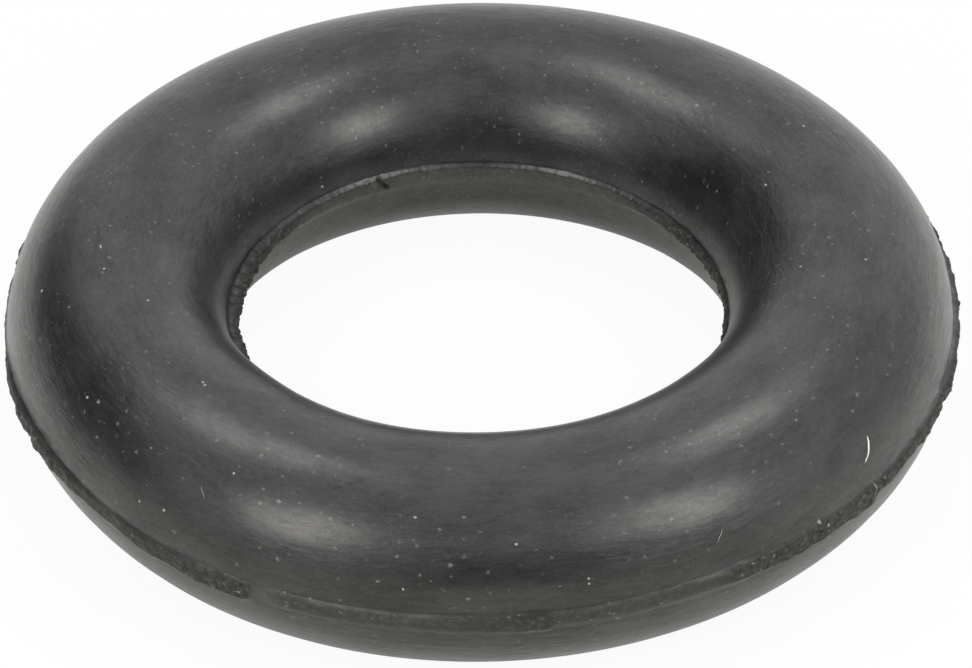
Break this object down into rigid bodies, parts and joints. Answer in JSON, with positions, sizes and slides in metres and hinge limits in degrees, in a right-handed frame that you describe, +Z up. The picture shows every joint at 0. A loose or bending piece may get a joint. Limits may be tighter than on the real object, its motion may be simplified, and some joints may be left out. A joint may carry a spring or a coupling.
{
  "type": "exhaust hanger ring",
  "caption": "Thick round-section ring of solid black rubber that hangs a car's exhaust: its eye slips over a body hook and an exhaust pin. Torn moulding flash runs round it.",
  "frame": {"origin": "Middle of the ring, on the surface that it lies flat on. The middle is that of the moulded ring; the torn flash reaches a little further on one side than on the other.", "axes": "+Z is up, along the axis of the ring's eye. -Y is the front of the picture's view and +X is its right."},
  "size_m": [0.0608, 0.0609, 0.0139],
  "materials": {
    "black_rubber": "satin"
  },
  "bodies": {
    "root": {"rubber_ring": "black_rubber"}
  },
  "joints": []
}
